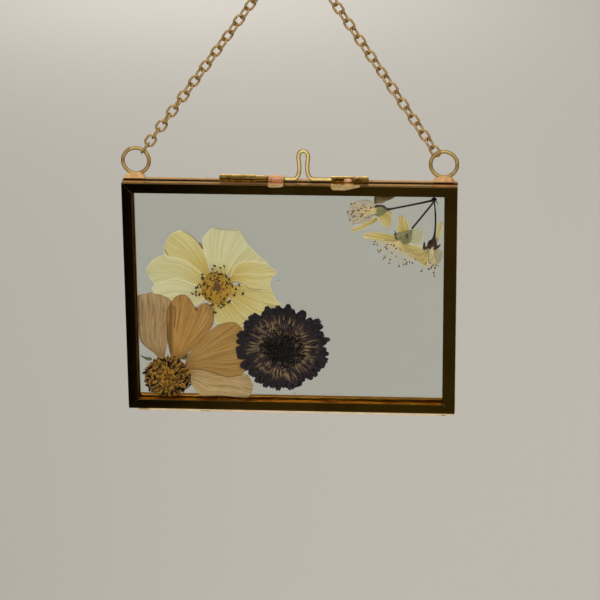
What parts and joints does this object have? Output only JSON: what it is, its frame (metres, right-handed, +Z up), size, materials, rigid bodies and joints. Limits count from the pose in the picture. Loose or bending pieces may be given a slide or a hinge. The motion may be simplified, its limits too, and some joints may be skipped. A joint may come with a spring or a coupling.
{
  "type": "pressed flower frame",
  "caption": "Hinged brass floating frame holding pressed flowers between two glass panes, with a hairpin clasp on top and a chain to hang it by.",
  "frame": {"origin": "the point the chain hangs from, at the top of its bend", "axes": "+X to the right seen from the front, +Y back towards the wall, +Z up"},
  "size_m": [0.1842, 0.0133, 0.2643],
  "materials": {
    "brass": "polished, lightly tarnished",
    "glass": "clear float glass",
    "cream_petal": "dried petal, matt",
    "brown_petal": "dried petal, matt",
    "floret": "dried florets, matt",
    "dark_floret": "dried florets, matt",
    "sepal": "dried sepal, matt",
    "stalk": "dried stalk, matt"
  },
  "bodies": {
    "back": {"back_rail_top": "brass", "back_rail_bottom": "brass", "back_rail_left": "brass", "back_rail_right": "brass", "back_pane": "glass", "ring_left": "brass", "ring_right": "brass", "back_knuckle_left": "brass", "back_knuckle_right": "brass", "back_hinge_leaf_left": "brass", "back_hinge_leaf_right": "brass", "hinge_pin_left": "brass", "hinge_pin_right": "brass", "chain": "brass", "cream_petal_top": "cream_petal", "cream_petal_upper_left": "cream_petal", "cream_petal_right": "cream_petal", "cream_petal_upper_right": "cream_petal", "cream_petal_left": "cream_petal", "cream_petal_lower_right": "cream_petal", "cream_petal_lower_left": "cream_petal", "cream_petal_bottom": "cream_petal", "cream_stamens": "floret", "cream_centre": "floret", "brown_petal_second": "brown_petal", "brown_petal_first": "brown_petal", "brown_petal_third": "brown_petal", "brown_petal_fourth": "brown_petal", "brown_flower_disc": "floret", "brown_sepal_left": "sepal", "brown_sepal_right": "sepal", "dark_rays": "dark_floret", "dark_centre": "dark_floret", "stalk_upper": "stalk", "stalk_middle": "stalk", "stalk_lower": "stalk", "calyx_upper": "sepal", "calyx_middle": "sepal", "calyx_lower": "stalk", "blossom_petals_upper": "cream_petal", "blossom_petals_middle": "cream_petal", "blossom_petals_lower": "cream_petal", "blossom_stamens_upper": "floret", "blossom_stamens_middle": "floret", "blossom_stamens_lower": "floret"},
    "front": {"front_rail_top": "brass", "front_rail_bottom": "brass", "front_rail_left": "brass", "front_rail_right": "brass", "front_pane": "glass", "front_knuckle_left": "brass", "front_knuckle_right": "brass", "front_hinge_leaf_left": "brass", "front_hinge_leaf_right": "brass"},
    "clasp": {"clasp_wire": "brass"}
  },
  "joints": [
    {"name": "frame_opening", "type": "hinge", "parent": "back", "child": "front", "pos_m": [-0.00399, -0.0033, -0.26126], "axis": [1, 0, 0], "range_deg": [0, 175], "deforming": ["clasp_wire"]},
    {"name": "clasp_swivel", "type": "hinge", "parent": "front", "child": "clasp", "pos_m": [0.00366, -0.0033, -0.12591], "axis": [1, 0, 0], "range_deg": [-90, 90]}
  ]
}
